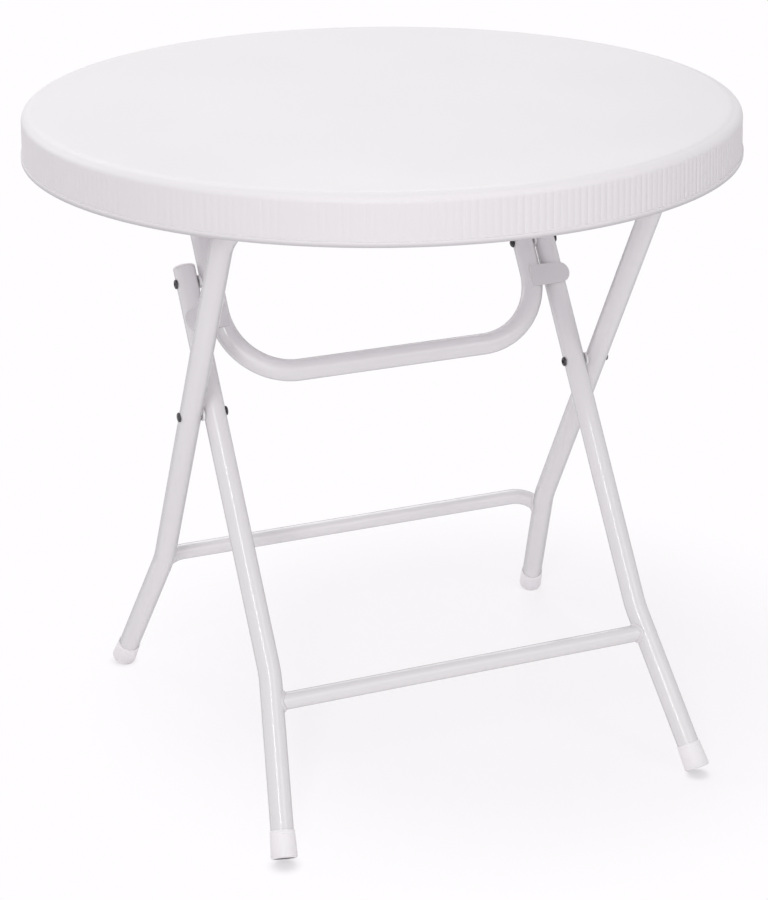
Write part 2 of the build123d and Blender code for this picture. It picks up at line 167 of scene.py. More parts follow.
def tubeShell(path, normal, outer, bore):
    # The outside from end to end, then back along the bore
    outside = ringsAlong(path, normal, outer)
    inside = ringsAlong((path[0][::-1], path[1][::-1]), normal, bore)[:, ::-1]
    return closedRing(np.concatenate([outside, np.roll(inside, 1, axis=1)]))


def mirroredShell(shell):
    # The same shell on the other side of the middle plane
    points, groups = shell
    return points * np.array([-1, 1, 1]), groups


def writeMesh(name, points, faceGroups):
    mesh = bpy.data.meshes.new(name)
    loops = np.concatenate([group.ravel() for group in faceGroups]).astype(np.int32)
    sizes = np.concatenate([np.full(len(group), group.shape[1]) for group in faceGroups])
    starts = np.concatenate([[0], np.cumsum(sizes)[:-1]]).astype(np.int32)
    mesh.vertices.add(len(points))
    mesh.vertices.foreach_set("co", (points * mm).astype(np.float32).ravel())
    mesh.loops.add(len(loops))
    mesh.loops.foreach_set("vertex_index", loops)
    mesh.polygons.add(len(sizes))
    mesh.polygons.foreach_set("loop_start", starts)
    mesh.update(calc_edges=True)
    mesh.validate()
    # Every shell here is closed, so its faces can be turned outward together
    work = bmesh.new()
    work.from_mesh(mesh)
    bmesh.ops.recalc_face_normals(work, faces=work.faces)
    work.to_mesh(mesh)
    work.free()
    return mesh


def addPiece(name, shell, body, material, replaced=(), sharpDegrees=32):
    mesh = writeMesh(name, *shell)
    mesh.polygons.foreach_set("use_smooth", np.ones(len(mesh.polygons), bool))
    mesh.set_sharp_from_angle(angle=math.radians(sharpDegrees))
    piece = bpy.data.objects.new(name, mesh)
    bpy.context.scene.collection.objects.link(piece)
    piece.data.materials.append(material)
    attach(piece, body)
    if replaced:
        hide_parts(*replaced)
    return piece


def addPair(name, shell, body, material, node=None):
    # A piece and its mirror image; node is the name, without its side, of what they replace
    for side, made in (("right", shell), ("left", mirroredShell(shell))):
        addPiece(f"{name}_{side}", made, body, material, [f"{node}_{side}"] if node else ())


# Shared effects, each a node group

def newGroup(name, inputs, outputs):
    group = bpy.data.node_groups.new(name, "ShaderNodeTree")
    for socketName, value in inputs.items():
        socket = group.interface.new_socket(socketName, in_out="INPUT", socket_type="NodeSocketFloat")
        socket.default_value = value
    for socketName in outputs:
        group.interface.new_socket(socketName, in_out="OUTPUT", socket_type="NodeSocketFloat")
    return group, group.nodes.new("NodeGroupInput"), group.nodes.new("NodeGroupOutput")


def addNode(tree, kind, settings=None, **values):
    # values fill input sockets by name, with underscores for spaces, or by place as i0, i1 and so on; a socket is
    # linked, a number is set
    node = tree.nodes.new(kind)
    for key, value in (settings or {}).items():
        setattr(node, key, value)
    for key, value in values.items():
        byPlace = key[0] == "i" and key[1:].isdigit()
        socket = node.inputs[int(key[1:]) if byPlace else key.replace("_", " ")]
        if isinstance(value, bpy.types.NodeSocket):
            tree.links.new(value, socket)
        else:
            socket.default_value = value
    return node


def mathNode(tree, operation, first, second):
    return addNode(tree, "ShaderNodeMath", {"operation": operation}, i0=first, i1=second).outputs[0]


def rangeNode(tree, value, fromRange, toRange=(0.0, 1.0), kind="LINEAR"):
    # The value carried from one range to another and held at its ends
    return addNode(tree, "ShaderNodeMapRange", {"interpolation_type": kind}, Value=value, From_Min=fromRange[0],
                   From_Max=fromRange[1], To_Min=toRange[0], To_Max=toRange[1]).outputs[0]


def noiseNode(tree, place, scale, detail, roughness):
    return addNode(tree, "ShaderNodeTexNoise", Vector=place, Scale=scale, Detail=detail, Roughness=roughness).outputs[0]


def objectPlace(tree):
    return addNode(tree, "ShaderNodeTexCoord").outputs["Object"]


def heightOf(tree, place):
    return addNode(tree, "ShaderNodeSeparateXYZ", Vector=place).outputs["Z"]


def mouldGrainGroup(coarseShare=0.22):
    # Fine grain on two scales, and a broad slow change that shifts the roughness
    group, given, result = newGroup("mouldGrain", {"Fineness": 900.0, "Coarse Share": 0.4, "Spread": 6.0},
                                    ["Height", "Patches"])
    place, fineness = objectPlace(group), given.outputs["Fineness"]
    fine = noiseNode(group, place, fineness, 2.0, 0.6)
    coarse = noiseNode(group, place, mathNode(group, "MULTIPLY", fineness, coarseShare), 1.0, 0.5)
    blended = addNode(group, "ShaderNodeMix", {"data_type": "FLOAT"}, Factor=given.outputs["Coarse Share"],
                      A=fine, B=coarse)
    group.links.new(blended.outputs[0], result.inputs["Height"])
    group.links.new(noiseNode(group, place, given.outputs["Spread"], 3.0, 0.55), result.inputs["Patches"])
    return group


def edgeWearGroup():
    # Convex edges from the mesh's own curvature, broken up by noise
    group, given, result = newGroup("edgeWear", {"From": 0.52, "To": 0.6, "Break Up": 40.0}, ["Mask"])
    place = objectPlace(group)
    curve = addNode(group, "ShaderNodeNewGeometry").outputs["Pointiness"]
    edge = rangeNode(group, curve, (given.outputs["From"], given.outputs["To"]))
    kept = rangeNode(group, noiseNode(group, place, given.outputs["Break Up"], 4.0, 0.65), (0.35, 0.65))
    group.links.new(mathNode(group, "MULTIPLY", edge, kept), result.inputs["Mask"])
    return group


def floorDustGroup():
    # A film that thins out with height above the floor, broken up by noise
    group, given, result = newGroup("floorDust", {"Reach": 0.03, "Break Up": 90.0}, ["Mask"])
    place = objectPlace(group)
    near = rangeNode(group, heightOf(group, place), (0.0, given.outputs["Reach"]), (1.0, 0.0))
    kept = rangeNode(group, noiseNode(group, place, given.outputs["Break Up"], 4.0, 0.6), (0.3, 0.7))
    group.links.new(mathNode(group, "MULTIPLY", near, kept), result.inputs["Mask"])
    return group


effects = {"mouldGrain": mouldGrainGroup(), "edgeWear": edgeWearGroup(), "floorDust": floorDustGroup()}
print("effect groups made:", ", ".join(effects))


def placeEffect(tree, name, **values):
    node = tree.nodes.new("ShaderNodeGroup")
    node.node_tree = effects[name]
    for key, value in values.items():
        node.inputs[key.replace("_", " ")].default_value = value
    return node


def mixColour(tree, mask, first, second):
    # A colour that goes from first to second with the mask; either may be a socket
    node = tree.nodes.new("ShaderNodeMix")
    node.data_type = "RGBA"
    tree.links.new(mask, node.inputs["Factor"])
    colourInputs = [socket for socket in node.inputs if socket.type == "RGBA"]
    for socket, value in zip(colourInputs, (first, second)):
        if isinstance(value, bpy.types.NodeSocket):
            tree.links.new(value, socket)
        else:
            socket.default_value = (*value, 1.0)
    return [socket for socket in node.outputs if socket.type == "RGBA"][0]


# Finishes

# grain is the bump's depth in metres; foot, edge and flat are ranges of height in metres, foot for the painted shade at
# the lip's foot and edge and flat for the painted light on the rounded edge; wear and turned are ranges of the mesh's
# curvature and of how far the surface turns away, turned for the painted shade at the tubes' edges
finishes = {
    "topPlastic": dict(colour=(0.806, 0.780, 0.804), worn=(0.832, 0.808, 0.830), roughness=(0.38, 0.52),
                       specular=0.42, fineness=850.0, grain=0.00035, coarse=0.45, spread=5.0, wear=(0.515, 0.58),
                       foot=(0.6830, 0.6875), footShare=0.52, edge=(0.7250, 0.7314), flat=(0.7336, 0.73490),
                       paintedRimLight=(0.898, 0.869, 0.896)),
    "coatedTube": dict(colour=(0.816, 0.799, 0.816), worn=(0.835, 0.818, 0.835), roughness=(0.29, 0.42),
                       specular=0.45, fineness=520.0, grain=0.00022, coarse=0.75, spread=9.0, wear=(0.58, 0.68),
                       coat=0.55, coatRoughness=0.09, turned=(0.45, 0.86), turnedShare=0.8),
    "coatedSteel": dict(colour=(0.735, 0.718, 0.738), worn=(0.80, 0.785, 0.80), roughness=(0.29, 0.40),
                        specular=0.50, fineness=480.0, grain=0.0003, coarse=0.7, spread=14.0, wear=(0.52, 0.60),
                        coat=0.2),
    "footPlastic": dict(colour=(0.955, 0.930, 0.952), worn=(0.84, 0.83, 0.84), roughness=(0.42, 0.55),
                        specular=0.40, fineness=1100.0, grain=0.0004, coarse=0.35, spread=30.0, wear=(0.53, 0.62),
                        dust=0.25),
    # Near black: painted shade in the soles of the foot caps
    "paintedSoleShade": dict(colour=(0.045, 0.044, 0.046), worn=(0.12, 0.115, 0.11), roughness=(0.55, 0.75),
                       specular=0.3, fineness=900.0, grain=0.0005, coarse=0.4, spread=60.0, wear=(0.53, 0.62),
                       dust=0.25),
    "coatedWeld": dict(colour=(0.800, 0.780, 0.800), worn=(0.835, 0.818, 0.835), roughness=(0.29, 0.42),
                       specular=0.45, fineness=520.0, grain=0.0003, coarse=0.75, spread=40.0, wear=(0.54, 0.64),
                       coat=0.2),
    "spacerPlastic": dict(colour=(0.80, 0.79, 0.80), worn=(0.84, 0.83, 0.84), roughness=(0.35, 0.45),
                          specular=0.45, fineness=1400.0, grain=0.0002, coarse=0.3, spread=40.0,
                          wear=(0.53, 0.62)),
    "darkSteel": dict(colour=(0.060, 0.058, 0.062), worn=(0.34, 0.33, 0.34), roughness=(0.30, 0.48),
                      specular=0.5, fineness=1600.0, grain=0.0002, coarse=0.3, spread=60.0, wear=(0.53, 0.63),
                      metallic=0.85),
    "zincSteel": dict(colour=(0.55, 0.55, 0.56), worn=(0.70, 0.70, 0.71), roughness=(0.29, 0.44), specular=0.5,
                      fineness=1500.0, grain=0.0002, coarse=0.4, spread=70.0, wear=(0.53, 0.62), metallic=0.95),
}
dustColour = (0.52, 0.50, 0.47)
# The colour that painted shade mixes toward
shadeColour = (0.36, 0.35, 0.37)
patchRange = (0.15, 0.85)
bumpStrength = 0.5


def makeFinish(name, look):
    material = bpy.data.materials.new(name)
    material.use_nodes = True
    tree = material.node_tree
    shader = tree.nodes["Principled BSDF"]
    grain = placeEffect(tree, "mouldGrain", Fineness=look["fineness"], Coarse_Share=look["coarse"],
                        Spread=look["spread"])
    wear = placeEffect(tree, "edgeWear", From=look["wear"][0], To=look["wear"][1])
    colour = mixColour(tree, wear.outputs["Mask"], look["colour"], look["worn"])
    # Painted shade: the lip is darkened toward its foot, standing in for the shade on the lip's rounded underside
    if "foot" in look:
        # Handling marks darken the lip toward its foot
        height = heightOf(tree, objectPlace(tree))
        under = rangeNode(tree, height, look["foot"], (look["footShare"], 0.0), "SMOOTHSTEP")
        colour = mixColour(tree, under, colour, shadeColour)
        # Painted light: the rounded edge is made lighter, less toward the wall below it and not on the flat above it,
        # standing in for light on the rounding
        curve = rangeNode(tree, height, look["edge"], (0.0, 1.0), "SMOOTHSTEP")
        below = rangeNode(tree, height, look["flat"], (1.0, 0.0))
        colour = mixColour(tree, mathNode(tree, "MULTIPLY", curve, below), colour, look["paintedRimLight"])
    if "turned" in look:
        # Painted shade: the powder coat is darkened where the surface turns away from the view, standing in for the
        # shaded edges of the tubes
        facing = addNode(tree, "ShaderNodeLayerWeight", Blend=0.5).outputs["Facing"]
        turned = rangeNode(tree, facing, look["turned"], (0.0, look["turnedShare"]), "SMOOTHSTEP")
        colour = mixColour(tree, turned, colour, shadeColour)
    if "dust" in look:
        dust = placeEffect(tree, "floorDust")
        share = mathNode(tree, "MULTIPLY", dust.outputs["Mask"], look["dust"])
        colour = mixColour(tree, share, colour, dustColour)
    tree.links.new(colour, shader.inputs["Base Color"])
    gloss = rangeNode(tree, grain.outputs["Patches"], patchRange, look["roughness"])
    tree.links.new(gloss, shader.inputs["Roughness"])
    bump = addNode(tree, "ShaderNodeBump", Height=grain.outputs["Height"], Distance=look["grain"],
                   Strength=bumpStrength)
    tree.links.new(bump.outputs[0], shader.inputs["Normal"])
    shader.inputs["Specular IOR Level"].default_value = look["specular"]
    shader.inputs["Metallic"].default_value = look.get("metallic", 0.0)
    shader.inputs["Coat Weight"].default_value = look.get("coat", 0.0)
    shader.inputs["Coat Roughness"].default_value = look.get("coatRoughness", 0.15)
    return material


materials = {name: makeFinish(name, look) for name, look in finishes.items()}
print("finishes made:", ", ".join(materials))


# The moulded top

topMoulding = dict(
    radius=400.0, height=735.0, foot=682.2, underside=731.0, wall=3.2,
    discRadii=(370.0, 300.0, 200.0, 100.0, 30.0), discColumns=120, flatRadii=(374.0, 380.0),
    wallTop=397.2, wallFoot=398.5, wallRows=(715.0, 702.0), underRounding=3.0, overLip=(1.2, 0.35),
    rounding=15.0, drop=10.5, pull=0.58, roundingRows=16,
    lipTop=688.1, lipCorner=0.9, lipUnder=1.6, footOut=397.0, footIn=396.6,
    innerEdge=0.7, innerRows=((0.4, 694.0), (0.9, 704.0), (1.2, 711.6)), innerRounding=9.5,
    grooves=320, grooveWidth=2.4, grooveDepth=0.5, grooveStart=0.45, flankAt=0.42, flankShare=0.72, landRise=0.12,
    leastDepth=0.45, mostDepth=1.3, seed=7, shallowAt=-114.0,
    shallowTurns=(-180, -60, -25, -4, 6, 26, 180), shallowShares=(1, 0.5, 0.32, 0.2, 0.25, 0.9, 1),
    ribWidth=2.6, ribDepth=19.0, ribRings=(62.0, 196.0, 318.0), ribSectors=12, hub=60.0, middle=8.0,
    ribSteps=(-0.6, -0.2, 0.0, 0.3, 0.45, 0.9, 1.9), ribShares=(1, 1, 0.995, 0.974, 0.367, 0.063, 0.016, 0),
    between=6, farAside=99.0,
)


def roundedRim(t):
    # A cubic curve from the flat of the top to the wall, flat against both, longer inward than down
    start, corner = np.array([t["wallTop"] - t["rounding"], t["height"]]), np.array([t["wallTop"], t["height"]])
    wallShare = t["drop"] / (t["height"] - t["lipTop"])
    end = np.array([t["wallTop"] + (t["wallFoot"] - t["wallTop"]) * wallShare, t["height"] - t["drop"]])
    s = np.linspace(0, 1, t["roundingRows"])[:, None]
    a, b = start + t["pull"] * (corner - start), end + t["pull"] * (corner - end)
    return (1 - s) ** 3 * start + 3 * s * (1 - s) ** 2 * a + 3 * s ** 2 * (1 - s) * b + s ** 3 * end


def outsideShell(t):
    # Rows of (radius, height, share of the groove) from the flat of the top to the flat of the foot, and the
    # columns in groups of six round each groove: shoulder, flank, bottom, flank, shoulder, middle of the land
    rim, height, lipTop, wallFoot = roundedRim(t), t["height"], t["lipTop"], t["wallFoot"]
    fade = np.clip((np.linspace(0, 1, len(rim)) - t["grooveStart"]) / (1 - t["grooveStart"]), 0, 1) ** 2
    wallHeights = np.array([height - t["drop"] - t["underRounding"], *t["wallRows"],
                            *(lipTop + over for over in t["overLip"])])
    wallRadii = t["wallTop"] + (wallFoot - t["wallTop"]) * (height - wallHeights) / (height - lipTop)
    corner, under = t["lipCorner"], t["lipUnder"]
    lipOut = arc((t["radius"] - corner, lipTop - corner), corner, 90, 0, 5)
    lipUnder = arc((t["radius"] - under, t["foot"] + under), under, 0, -90, 6)
    rows = [(r, height, 0) for r in t["flatRadii"]]
    rows += [(r, z, f) for (r, z), f in zip(rim, fade)]
    rows += [(r, z, 1) for r, z in zip(wallRadii, wallHeights)]
    # The grooves end in a small fillet on the lip
    rows += [(wallFoot + 0.1, lipTop + 0.05, 0.5), (wallFoot + 0.5, lipTop, 0)]
    rows += [(r, z, 0) for r, z in (*lipOut, *lipUnder, (t["footOut"], t["foot"]))]
    rows = np.array(rows)
    pitch = 2 * math.pi / t["grooves"]
    half = t["grooveWidth"] / 2 / t["radius"]
    flank = t["flankAt"] * half
    offsets = np.array([-half, -flank, 0, flank, half, pitch / 2])
    depths = t["grooveDepth"] * np.array([0, t["flankShare"], 1, t["flankShare"], 0, -t["landRise"]])
    angle = (np.arange(t["grooves"])[:, None] * pitch + offsets).ravel()
    # Each groove is a little deeper or shallower than its neighbours
    change = np.random.default_rng(t["seed"]).uniform(t["leastDepth"], t["mostDepth"], t["grooves"])
    # They are shallowest at one place round the rim
    turn = (np.degrees(np.arange(t["grooves"]) * pitch) - t["shallowAt"] + 180) % 360 - 180
    change = change * np.interp(turn, t["shallowTurns"], t["shallowShares"])
    depth = (depths * change[:, None]).ravel()
    radius = rows[:, :1] - rows[:, 2:] * depth
    points = np.stack([radius * np.cos(angle), radius * np.sin(angle), np.repeat(rows[:, 1:2], len(angle), 1)], -1)
    return points, angle


def ribSide(t):
    # Distances from a rib's middle, from its flat foot out to the end of its root fillet
    return t["ribWidth"] / 2 + np.array(t["ribSteps"])


def ribDrop(distance, t):
    # How far a rib at that sideways distance hangs down: flat foot, rounded edges, tapered walls, root fillet
    return np.interp(np.abs(distance), [0, *ribSide(t)], np.array(t["ribShares"]) * t["ribDepth"])


def insideShell(t):
    # Rows from the foot up the inner wall and across the underside to the middle; columns bunch at the ribs,
    # at fixed sideways distances from each rib's line. The height is the lower of the wall's and the ribs'.
    edge, rounding = t["innerEdge"], t["innerRounding"]
    across = np.concatenate([-ribSide(t)[::-1], ribSide(t)])
    wallIn, roundingIn = t["wallFoot"] - t["wall"], t["wallTop"] - t["wall"] - rounding
    rows = [(t["footIn"], t["foot"])]
    rows += list(arc((wallIn + edge, t["foot"] + edge), edge, 270, 180, 4))
    rows += [(wallIn - inward, z) for inward, z in t["innerRows"]]
    rows += list(arc((roundingIn, t["underside"] - rounding), rounding, 0, 90, 7))
    radii, reached = [], roundingIn
    for ring in sorted(t["ribRings"], reverse=True):
        radii += list(np.linspace(reached, ring + across[-1], 6)[1:-1]) + list(ring + across[::-1])
        reached = ring + across[0]
    radii += list(np.linspace(reached, t["middle"], 5)[1:])
    rows += [(r, t["underside"]) for r in radii]
    rows = np.array(rows)
    sectors, between = t["ribSectors"], t["between"]
    ribAngle = (np.arange(sectors) + 0.5) * 2 * math.pi / sectors
    reach = np.maximum(rows[:, 0], t["hub"])[:, None, None]
    near = ribAngle[None, :, None] + np.arcsin(across / reach)
    gap = 2 * math.pi / sectors - 2 * np.arcsin(across[-1] / reach)
    free = near[:, :, -1:] + gap * (np.arange(1, between + 1) / (between + 1))
    angle = np.concatenate([near, free], -1).reshape(len(rows), -1)
    # The free columns lie too far from any rib to hang down with it
    aside = np.concatenate([np.broadcast_to(across, near.shape), np.full(free.shape, t["farAside"])], -1)
    radial = np.where(rows[:, :1] >= t["ribRings"][0] - t["ribWidth"] / 2, ribDrop(aside.reshape(len(rows), -1), t), 0)
    rings = np.max([ribDrop(rows[:, :1] - ring, t) for ring in t["ribRings"]], 0)
    height = np.minimum(rows[:, 1:], t["underside"] - np.maximum(radial, rings))
    height[0] = t["foot"]
    points = np.stack([rows[:, :1] * np.cos(angle), rows[:, :1] * np.sin(angle), height], -1)
    return points, angle


def topShell(t):
    outer, outerAngle = outsideShell(t)
    inner, innerAngle = insideShell(t)
    outerRows, outerColumns, _ = outer.shape
    innerRows, innerColumns, _ = inner.shape
    # The flat of the top goes on inward with fewer columns
    radii, columns = np.array(t["discRadii"]), t["discColumns"]
    discRows = len(radii)
    discAngle = np.arange(columns) * 2 * math.pi / columns
    disc = np.stack([radii[:, None] * np.cos(discAngle), radii[:, None] * np.sin(discAngle),
                     np.full((discRows, columns), t["height"])], -1)
    startInner = outerRows * outerColumns
    startDisc = startInner + innerRows * innerColumns
    groups = [
        gridQuads(outerRows, outerColumns)[:, ::-1],
        gridQuads(innerRows, innerColumns, startInner)[:, ::-1],
        gridQuads(discRows, columns, startDisc),
        zipRings(outerAngle, 0, discAngle, startDisc),
        zipRings(outerAngle, (outerRows - 1) * outerColumns, innerAngle[0], startInner),
        (startDisc + (discRows - 1) * columns + np.arange(columns))[None],
        (startInner + (innerRows - 1) * innerColumns + np.arange(innerColumns))[None],
    ]
    return np.concatenate([outer.reshape(-1, 3), inner.reshape(-1, 3), disc.reshape(-1, 3)]), groups


def profileBlock(profile, fromX, toX, bevel):
    # A closed profile of (y, z) carried along X, drawn in by the bevel at both ends
    profile = np.array(profile, float)
    before, after = profile - np.roll(profile, 1, 0), np.roll(profile, -1, 0) - profile
    before, after = (v / np.linalg.norm(v, axis=1)[:, None] for v in (before, after))
    inward = np.stack([-(before + after)[:, 1], (before + after)[:, 0]], -1)
    inward = inward / np.maximum((inward * np.stack([-after[:, 1], after[:, 0]], -1)).sum(1), 0.3)[:, None]
    drawn = profile + bevel * inward
    rows = [(fromX, drawn), (fromX + bevel, profile), (toX - bevel, profile), (toX, drawn)]
    return closedTube(np.array([np.column_stack([np.full(len(ring), x), ring]) for x, ring in rows]))


# The lines of legs, bars and lock bar

def legFrame(end, k):
    # Directions up the leg and out of its front, its bend, its splayed part's direction and its sole
    foot = k[end + "Foot"]
    run, rise = k["crossingY"] - foot, k["crossingHeight"]
    length = math.hypot(run, rise)
    up = np.array([0.0, run / length, rise / length])
    front = np.array([0.0, -up[2], up[1]])

    def at(height, x=0.0):
        return np.array([x, foot + height * up[1] / up[2], height])

    sideways, down = k[end + "Splay"], k[end + "Bend"] / up[2]
    splayed = np.array([sideways, -down * up[1], -down * up[2]]) / math.hypot(sideways, down)
    # The cap stands on its rounded edge, whose middle lies this far from its axis
    slope = (k["capRadius"] - k["capRim"]) / k["capLength"]
    edgeMiddle = k["capRadius"] - k["capEdge"] * (slope + math.hypot(1, slope))
    cosine = -splayed[2]
    soleHeight = edgeMiddle * math.sqrt(1 - cosine ** 2) + k["capEdge"] * (1 - cosine)
    bend = at(k[end + "Bend"], k[end + "Spread"])
    sole = bend + splayed * (k[end + "Bend"] - soleHeight) / cosine
    return dict(up=up, front=front, at=at, bend=bend, splayed=splayed, sole=sole)


legs = {end: legFrame(end, linkage) for end in ("front", "rear")}


def acrossBoth(right):
    # A line on the right-hand side carried on to its mirror image
    return list(right) + [point * np.array([-1, 1, 1]) for point in reversed(right)]


frontLeg, rearLeg = legs["front"], legs["rear"]
lockPivot = frontLeg["at"](linkage["lockPivotHeight"], linkage["frontSpread"])
overhangs = dict(leg=17.0, arm=10.0)
bendRadii = dict(splay=150.0, corner=62.0, handle=80.0)

frontLegPath = filletPath([lockPivot + overhangs["leg"] * frontLeg["up"], frontLeg["bend"],
                           frontLeg["sole"] - linkage["capFloor"] * frontLeg["splayed"]], [bendRadii["splay"]])
rearFramePath = filletPath(
    acrossBoth([rearLeg["sole"] - linkage["capFloor"] * rearLeg["splayed"], rearLeg["bend"],
                rearLeg["at"](linkage["hingeHeight"], linkage["rearSpread"])]),
    [bendRadii["splay"], bendRadii["corner"], bendRadii["corner"], bendRadii["splay"]])
armTop = frontLeg["at"](linkage["hingeHeight"], linkage["armSpread"]) + overhangs["arm"] * frontLeg["up"]
lockBarPath = filletPath(acrossBoth([armTop, frontLeg["at"](linkage["handleHeight"], linkage["armSpread"])]),
                         [bendRadii["handle"]] * 2)

tubeSizes = (linkage["tubeRadius"], linkage["tubeBore"])
addPair("front_leg_tube", tubeShell(frontLegPath, frontLeg["front"], *tubeSizes), "front_frame",
        materials["coatedTube"], "front_leg")
for name, path, leg, body, node in (
        ("rear_frame_bent_tube", rearFramePath, rearLeg, "rear_frame", "rear_frame_tube"),
        ("lock_bar_bent_tube", lockBarPath, frontLeg, "lock_bar", "lock_bar")):
    shell = tubeShell(path, leg["front"], *tubeSizes)
    addPiece(name, shell, body, materials["coatedTube"], [node])
print("tubes made")


# Crossbars and their welds

def barEnd(end, height):
    # Where the bar's line meets the splayed leg's line
    leg = legs[end]
    down = (leg["bend"][2] - height) / -leg["splayed"][2]
    return leg["bend"] + leg["splayed"] * down


def rearBarPoints(offset=22.5, turnDegrees=50.0, bendShare=0.6):
    # Straight behind the legs, with both ends bent forward onto them
    turn = math.radians(turnDegrees)
    end = barEnd("rear", linkage["rearBar"])
    corner = end - rearLeg["front"] * offset - np.array([offset / math.tan(turn), 0, 0])
    reach = bendShare * offset / math.sin(turn)
    return [end, corner], reach / math.tan(turn / 2)


rearPoints, rearRadius = rearBarPoints()
frontEnd = barEnd("front", linkage["frontBar"])
# The front bar is straight, so its two inner points have no arc and lie anywhere on it
barPaths = {"front": filletPath(acrossBoth([frontEnd, frontEnd - np.array([25.0, 0, 0])]), [1.0] * 2),
            "rear": filletPath(acrossBoth(rearPoints), [rearRadius] * 2)}
barEnds = dict(letIn=0.4, clear=1.0)
welds = dict(reach=2.9, evenShare=0.92, ripple=0.13, ripples=30, rippleLean=0.12, rippleMiddle=0.6, columns=16,
             profilePower=1.35)


def densePath(path, step=0.5, length=45.0):
    # The first part of a path with places close together, from its end on the leg inward
    places, directions = path
    distance = np.concatenate([[0], np.cumsum(np.linalg.norm(np.diff(places, axis=0), axis=1))])
    wanted = np.arange(0, length, step)
    return (np.stack([np.interp(wanted, distance, places[:, i]) for i in range(3)], -1),
            np.stack([np.interp(wanted, distance, directions[:, i]) for i in range(3)], -1))


def saddleRing(path, normal, radius, leg, legRadius, columns):
    # The curve where the bar's surface leaves the leg's: on each of the bar's lines, the first place from the
    # leg's middle outward whose distance from the leg's line passes the leg's radius. The bar's middle at each of
    # them comes with it.
    places, directions = densePath(path)
    lines = np.swapaxes(ringsAlong((places, directions), normal, radius, columns), 0, 1)
    away = lines - leg["bend"]
    away = away - (away @ leg["splayed"])[..., None] * leg["splayed"]
    gap = np.linalg.norm(away, axis=-1) - legRadius
    first = np.argmax(gap > 0, axis=1)
    row = np.arange(columns)
    share = (gap[row, first - 1] / (gap[row, first - 1] - gap[row, first]))[:, None]
    return lines[row, first - 1] * (1 - share) + lines[row, first] * share, places[first]


def crossbarShell(end, columns=48):
    path, normal, leg = barPaths[end], legs[end]["up"], legs[end]
    legRadius = linkage["tubeRadius"] - barEnds["letIn"]
    ring, _ = saddleRing(path, normal, linkage["barRadius"], leg, legRadius, columns)
    places, directions = path
    inner = np.abs(places[:, 0]) < np.abs(ring[:, 0]).min() - barEnds["clear"]
    body = ringsAlong((places[inner], directions[inner]), normal, linkage["barRadius"], columns)
    # The left end is the right one's mirror image, its columns in the same order as the body's
    return closedTube(np.concatenate([ring[None], body, ring[None] * np.array([-1, 1, 1])]))


def weldShell(end, w, columns=200):
    # A fillet along the saddle curve, its section between a circle and a straight chamfer, rippled along its run
    leg = legs[end]
    curve, middles = saddleRing(barPaths[end], leg["up"], linkage["barRadius"], leg, linkage["tubeRadius"], columns)
    along = np.roll(curve, -1, 0) - np.roll(curve, 1, 0)
    along = along / np.linalg.norm(along, axis=1)[:, None]
    outward = curve - middles
    outward = outward - (outward * along).sum(1)[:, None] * along
    outward = outward / np.linalg.norm(outward, axis=1)[:, None]
    inward = np.cross(along, outward)
    turn = np.linspace(0, 2 * math.pi, w["columns"], endpoint=False)
    power = w["profilePower"]
    section = (np.abs(np.cos(turn)) ** power + np.abs(np.sin(turn)) ** power) ** (-1 / power)
    row = np.arange(columns) / columns
    wave = (row[:, None] * w["ripples"] + w["rippleLean"] * np.cos(turn)) % 1
    # Two slow waves round the ring make its width uneven
    uneven = 0.06 * np.sin(6 * math.pi * row + 1) + 0.04 * np.sin(14 * math.pi * row)
    radius = w["reach"] * section * (w["evenShare"] + uneven[:, None])
    radius = radius + w["ripple"] * (np.sqrt(wave) - w["rippleMiddle"])
    around = np.cos(turn)[:, None] * outward[:, None] + np.sin(turn)[:, None] * inward[:, None]
    return closedRing(curve[:, None] + radius[..., None] * around)


for end, body in (("front", "front_frame"), ("rear", "rear_frame")):
    addPiece(f"{end}_crossbar_tube", crossbarShell(end), body, materials["coatedTube"],
             [f"{end}_crossbar"])
    ring = weldShell(end, welds)
    addPiece(f"{end}_weld_rings", joinShells([ring, mirroredShell(ring)]), body, materials["coatedWeld"],
             [f"{end}_weld_beads"], sharpDegrees=180)
print("crossbars and welds made")


# Foot caps

pushFit = 0.1
# The profile of the dark disc in the sole, painted shade
soleShadeProfile = [(0.4, 0.3), (10.3, 0.3), (10.9, 0.4), (11.1, 0.7), (11.1, 1.6), (0.4, 1.6)]


def footCapShell(leg, k):
    # From the middle of the sole, with a shallow hollow in it, round the edge, up the flared outside, over a
    # beaded rim and down the bore
    radius, rim, length, edge = k["capRadius"], k["capRim"], k["capLength"], k["capEdge"]
    bore = k["tubeRadius"] + pushFit

    def side(height):
        return radius + (rim - radius) * height / length

    profile = [(0.4, 0.9), (11.2, 0.9), (11.35, 0.75), (11.4, 0.15), (11.5, 0)]
    profile += list(arc((side(edge) - edge, edge), edge, 270, 358, 7))
    profile += [(side(h), h) for h in (7.0, 14.0, length - 4.4)]
    profile += [(side(length - down) - inward, length - down)
                for inward, down in ((0.28, 4.0), (0.3, 3.5), (0.02, 3.1))]
    profile += list(arc((rim - 0.4, length - 0.4), 0.4, 0, 90, 4))
    profile += list(arc((bore + 0.3, length - 0.3), 0.3, 90, 180, 4))
    profile += [(bore, 20), (bore, k["capFloor"] + pushFit), (0.4, k["capFloor"])]
    return lathe(leg["sole"], -leg["splayed"], profile, 72)


for end, body in (("front", "front_frame"), ("rear", "rear_frame")):
    addPair(f"{end}_foot_cap", footCapShell(legs[end], linkage), body, materials["footPlastic"],
            f"{end}_foot")
    # A near-black disc let into the sole: painted shade standing in for the shadow in the sole's hollow
    paintedShadeDisc = lathe(legs[end]["sole"], -legs[end]["splayed"], soleShadeProfile, 48)
    addPair(f"{end}_foot_pad", paintedShadeDisc, body, materials["paintedSoleShade"])
print("foot caps made")


# Plugs in the free tube ends

